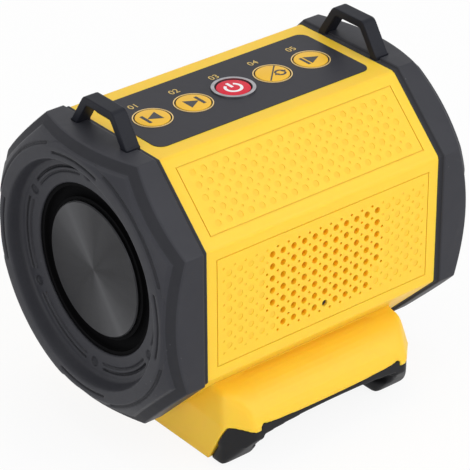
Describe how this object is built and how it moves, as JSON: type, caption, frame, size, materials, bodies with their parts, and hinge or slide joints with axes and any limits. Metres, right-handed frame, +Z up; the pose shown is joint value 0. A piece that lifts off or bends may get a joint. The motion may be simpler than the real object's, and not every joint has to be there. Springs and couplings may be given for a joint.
{
  "type": "bluetooth speaker",
  "caption": "Octagonal bluetooth speaker with rubber end caps, passive radiators, top keys, strap lugs and a pedestal that slides onto a tool battery.",
  "frame": {"origin": "middle of the footprint, on the surface the pedestal stands on", "axes": "+X along the housing towards the right end cap, -Y towards the front grille, +Z up"},
  "size_m": [0.146, 0.116, 0.136],
  "materials": {
    "yellow_shell": "satin moulded shell",
    "panel_black": "smooth satin panel",
    "ring_silver": "turned",
    "key_gold": "satin metallic paint",
    "key_red": "satin",
    "board_green": "solder mask",
    "switch_black": "moulded",
    "screw_steel": "plain",
    "cap_rubber": "fine matt grain",
    "lug_plastic": "fine matt grain",
    "disc_metal": "dark, fine turning marks",
    "surround_rubber": "smooth",
    "frame_black": "moulded",
    "gasket_foam": "closed foam",
    "magnet_ferrite": "sintered",
    "coil_copper": "copper",
    "cone_paper": "coated paper",
    "spider_cloth": "resin-dipped cloth",
    "capacitor_sleeve": "printed sleeve left bare",
    "wire_sleeve": "insulation"
  },
  "bodies": {
    "housing": {"main_housing": "yellow_shell", "front_grille": "yellow_shell", "upper_grille": "yellow_shell", "rear_grille": "yellow_shell", "rear_upper_grille": "yellow_shell", "control_panel": "panel_black", "power_ring": "ring_silver", "key_trim_rings": "key_gold", "key_board": "board_green", "key_switches": "switch_black", "key_board_screws": "screw_steel", "left_end_cap": "cap_rubber", "right_end_cap": "cap_rubber", "left_strap_lug": "lug_plastic", "right_strap_lug": "lug_plastic", "lug_screws": "screw_steel", "left_radiator_surround": "surround_rubber", "right_radiator_surround": "surround_rubber", "left_end_frame": "frame_black", "right_end_frame": "frame_black", "left_end_gasket": "gasket_foam", "right_end_gasket": "gasket_foam", "left_frame_screws": "screw_steel", "right_frame_screws": "screw_steel", "driver_gasket": "gasket_foam", "driver_basket": "frame_black", "driver_top_plate": "screw_steel", "driver_magnet": "magnet_ferrite", "driver_yoke": "screw_steel", "driver_screws": "screw_steel", "driver_surround": "surround_rubber", "driver_spider": "spider_cloth", "main_board": "board_green", "radio_module": "switch_black", "filter_capacitors": "capacitor_sleeve", "power_inductor": "switch_black", "board_screws": "screw_steel", "microphone": "screw_steel", "mic_boot": "surround_rubber", "battery_leads": "wire_sleeve", "driver_leads": "wire_sleeve", "key_ribbon": "wire_sleeve", "battery_base": "yellow_shell", "battery_shoe": "frame_black", "terminal_block": "frame_black", "contact_blades": "coil_copper", "base_screws": "screw_steel"},
    "previous_button": {"previous_key": "key_gold"},
    "next_button": {"next_key": "key_gold"},
    "power_button": {"power_key": "key_red"},
    "mode_button": {"mode_key": "key_gold"},
    "play_button": {"play_key": "key_gold"},
    "left_radiator": {"left_radiator_disc": "disc_metal", "left_radiator_weight": "screw_steel"},
    "right_radiator": {"right_radiator_disc": "disc_metal", "right_radiator_weight": "screw_steel"},
    "driver_diaphragm": {"driver_cone": "cone_paper", "dust_cap": "cone_paper", "voice_coil": "coil_copper"}
  },
  "joints": [
    {"name": "previous_press", "type": "slide", "parent": "housing", "child": "previous_button", "axis": [0, 0, -1], "range_m": [0, 0.0005], "stiffness_N_per_m": 2400, "springref_m": -0.0001},
    {"name": "next_press", "type": "slide", "parent": "housing", "child": "next_button", "axis": [0, 0, -1], "range_m": [0, 0.0005], "stiffness_N_per_m": 2400, "springref_m": -0.0001},
    {"name": "power_press", "type": "slide", "parent": "housing", "child": "power_button", "axis": [0, 0, -1], "range_m": [0, 0.0005], "stiffness_N_per_m": 2400, "springref_m": -0.0001},
    {"name": "mode_press", "type": "slide", "parent": "housing", "child": "mode_button", "axis": [0, 0, -1], "range_m": [0, 0.0005], "stiffness_N_per_m": 2400, "springref_m": -0.0001},
    {"name": "play_press", "type": "slide", "parent": "housing", "child": "play_button", "axis": [0, 0, -1], "range_m": [0, 0.0005], "stiffness_N_per_m": 2400, "springref_m": -0.0001},
    {"name": "left_radiator_slide", "type": "slide", "parent": "housing", "child": "left_radiator", "axis": [-1, 0, 0], "range_m": [-0.003, 0.003], "stiffness_N_per_m": 1500, "deforming": ["left_radiator_surround"]},
    {"name": "right_radiator_slide", "type": "slide", "parent": "housing", "child": "right_radiator", "axis": [1, 0, 0], "range_m": [-0.003, 0.003], "stiffness_N_per_m": 1500, "deforming": ["right_radiator_surround"]},
    {"name": "driver_slide", "type": "slide", "parent": "housing", "child": "driver_diaphragm", "axis": [0, -1, 0], "range_m": [-0.0015, 0.0015], "stiffness_N_per_m": 1200, "deforming": ["driver_surround", "driver_spider"]}
  ]
}
